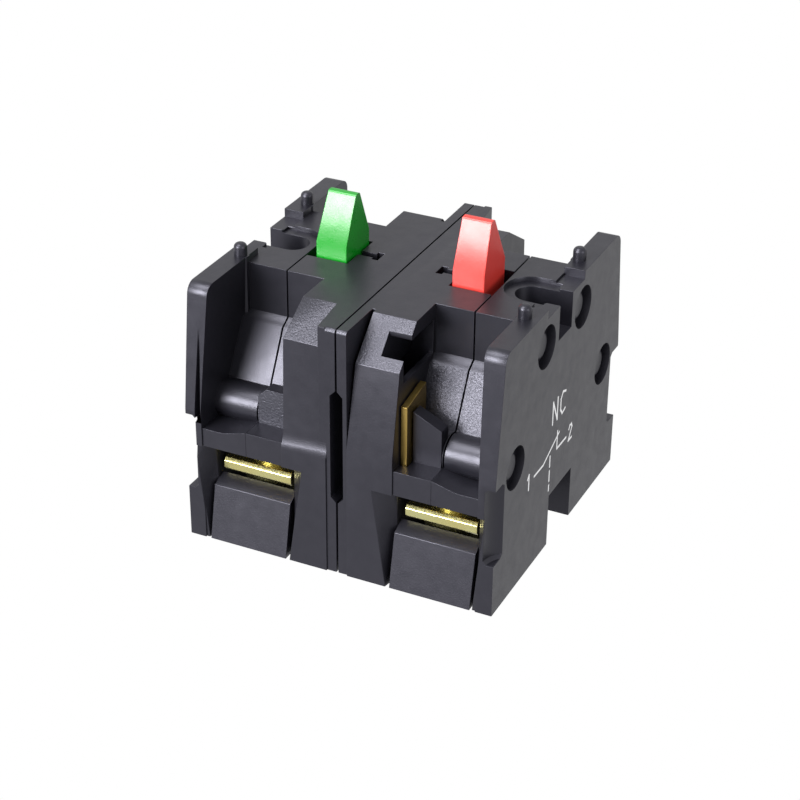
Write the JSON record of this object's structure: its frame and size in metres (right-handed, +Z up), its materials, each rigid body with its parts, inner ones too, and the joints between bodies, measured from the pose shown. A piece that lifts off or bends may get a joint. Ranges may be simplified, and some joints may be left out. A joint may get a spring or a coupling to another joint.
{
  "type": "push button contact block pair",
  "caption": "Pair of side-by-side 22 mm push-button contact blocks, one make and one break, with sprung plungers, bridge contacts and screw terminals.",
  "frame": {"origin": "centre of the bounding box at the underside, on the seam between the two blocks", "axes": "+X from the make block to the break block, +Y from front to rear along the seam, +Z up towards the plungers"},
  "size_m": [0.03, 0.0294, 0.03],
  "materials": {
    "housing_plastic": "black moulding with fine spark-eroded grain",
    "green_plastic": "bright green moulding",
    "red_plastic": "coral red moulding",
    "contact_brass": "stamped strip",
    "contact_silver": "silver contact tips",
    "spring_steel": "drawn wire",
    "plated_steel": "yellow passivated zinc"
  },
  "bodies": {
    "housing": {"nc_base": "housing_plastic", "nc_cover": "housing_plastic", "nc_front_terminal": "contact_brass", "nc_rear_terminal": "contact_brass", "nc_fixed_tips": "contact_silver", "nc_return_spring": "spring_steel", "no_base": "housing_plastic", "no_cover": "housing_plastic", "no_front_terminal": "contact_brass", "no_rear_terminal": "contact_brass", "no_fixed_tips": "contact_silver", "no_return_spring": "spring_steel"},
    "nc_plunger_body": {"nc_plunger": "red_plastic", "nc_contact_spring": "spring_steel"},
    "nc_bridge_body": {"nc_bridge": "contact_brass", "nc_bridge_tips": "contact_silver"},
    "nc_front_clamp_body": {"nc_front_clamp": "plated_steel"},
    "nc_front_screw_body": {"nc_front_screw": "plated_steel"},
    "nc_rear_clamp_body": {"nc_rear_clamp": "plated_steel"},
    "nc_rear_screw_body": {"nc_rear_screw": "plated_steel"},
    "no_plunger_body": {"no_plunger": "green_plastic", "no_contact_spring": "spring_steel"},
    "no_bridge_body": {"no_bridge": "contact_brass", "no_bridge_tips": "contact_silver"},
    "no_front_clamp_body": {"no_front_clamp": "plated_steel"},
    "no_front_screw_body": {"no_front_screw": "plated_steel"},
    "no_rear_clamp_body": {"no_rear_clamp": "plated_steel"},
    "no_rear_screw_body": {"no_rear_screw": "plated_steel"}
  },
  "joints": [
    {"name": "nc_plunger_slide", "type": "slide", "parent": "housing", "child": "nc_plunger_body", "axis": [0, 0, -1], "range_m": [0, 0.0043], "stiffness_N_per_m": 400, "springref_m": -0.006, "deforming": ["nc_return_spring"]},
    {"name": "nc_bridge_slide", "type": "slide", "parent": "housing", "child": "nc_bridge_body", "axis": [0, 0, -1], "range_m": [0, 0.0028], "deforming": ["nc_contact_spring"]},
    {"name": "nc_front_clamp_slide", "type": "slide", "parent": "housing", "child": "nc_front_clamp_body", "axis": [0, 0, 1], "range_m": [0, 0.0012]},
    {"name": "nc_front_screw_turn", "type": "hinge", "parent": "nc_front_clamp_body", "child": "nc_front_screw_body", "pos_m": [0.009, -0.0092, 0.006], "axis": [0, 0, 1], "range_deg": [0, 720]},
    {"name": "nc_rear_clamp_slide", "type": "slide", "parent": "housing", "child": "nc_rear_clamp_body", "axis": [0, 0, 1], "range_m": [0, 0.0012]},
    {"name": "nc_rear_screw_turn", "type": "hinge", "parent": "nc_rear_clamp_body", "child": "nc_rear_screw_body", "pos_m": [0.009, 0.0092, 0.006], "axis": [0, 0, 1], "range_deg": [0, 720]},
    {"name": "no_plunger_slide", "type": "slide", "parent": "housing", "child": "no_plunger_body", "axis": [0, 0, -1], "range_m": [0, 0.0043], "stiffness_N_per_m": 400, "springref_m": -0.006, "deforming": ["no_return_spring"]},
    {"name": "no_bridge_slide", "type": "slide", "parent": "housing", "child": "no_bridge_body", "axis": [0, 0, -1], "range_m": [0, 0.0026], "deforming": ["no_contact_spring"]},
    {"name": "no_front_clamp_slide", "type": "slide", "parent": "housing", "child": "no_front_clamp_body", "axis": [0, 0, 1], "range_m": [0, 0.0012]},
    {"name": "no_front_screw_turn", "type": "hinge", "parent": "no_front_clamp_body", "child": "no_front_screw_body", "pos_m": [-0.009, -0.0092, 0.006], "axis": [0, 0, 1], "range_deg": [0, 720]},
    {"name": "no_rear_clamp_slide", "type": "slide", "parent": "housing", "child": "no_rear_clamp_body", "axis": [0, 0, 1], "range_m": [0, 0.0012]},
    {"name": "no_rear_screw_turn", "type": "hinge", "parent": "no_rear_clamp_body", "child": "no_rear_screw_body", "pos_m": [-0.009, 0.0092, 0.006], "axis": [0, 0, 1], "range_deg": [0, 720]}
  ],
  "couplings": [
    {"joint": "nc_bridge_slide", "follows": "nc_plunger_slide", "ratio": 0.65},
    {"joint": "nc_front_screw_turn", "follows": "nc_front_clamp_slide", "rad_per_m": 10472},
    {"joint": "nc_rear_screw_turn", "follows": "nc_rear_clamp_slide", "rad_per_m": 10472},
    {"joint": "no_bridge_slide", "follows": "no_plunger_slide", "ratio": 0.6},
    {"joint": "no_front_screw_turn", "follows": "no_front_clamp_slide", "rad_per_m": 10472},
    {"joint": "no_rear_screw_turn", "follows": "no_rear_clamp_slide", "rad_per_m": 10472}
  ]
}
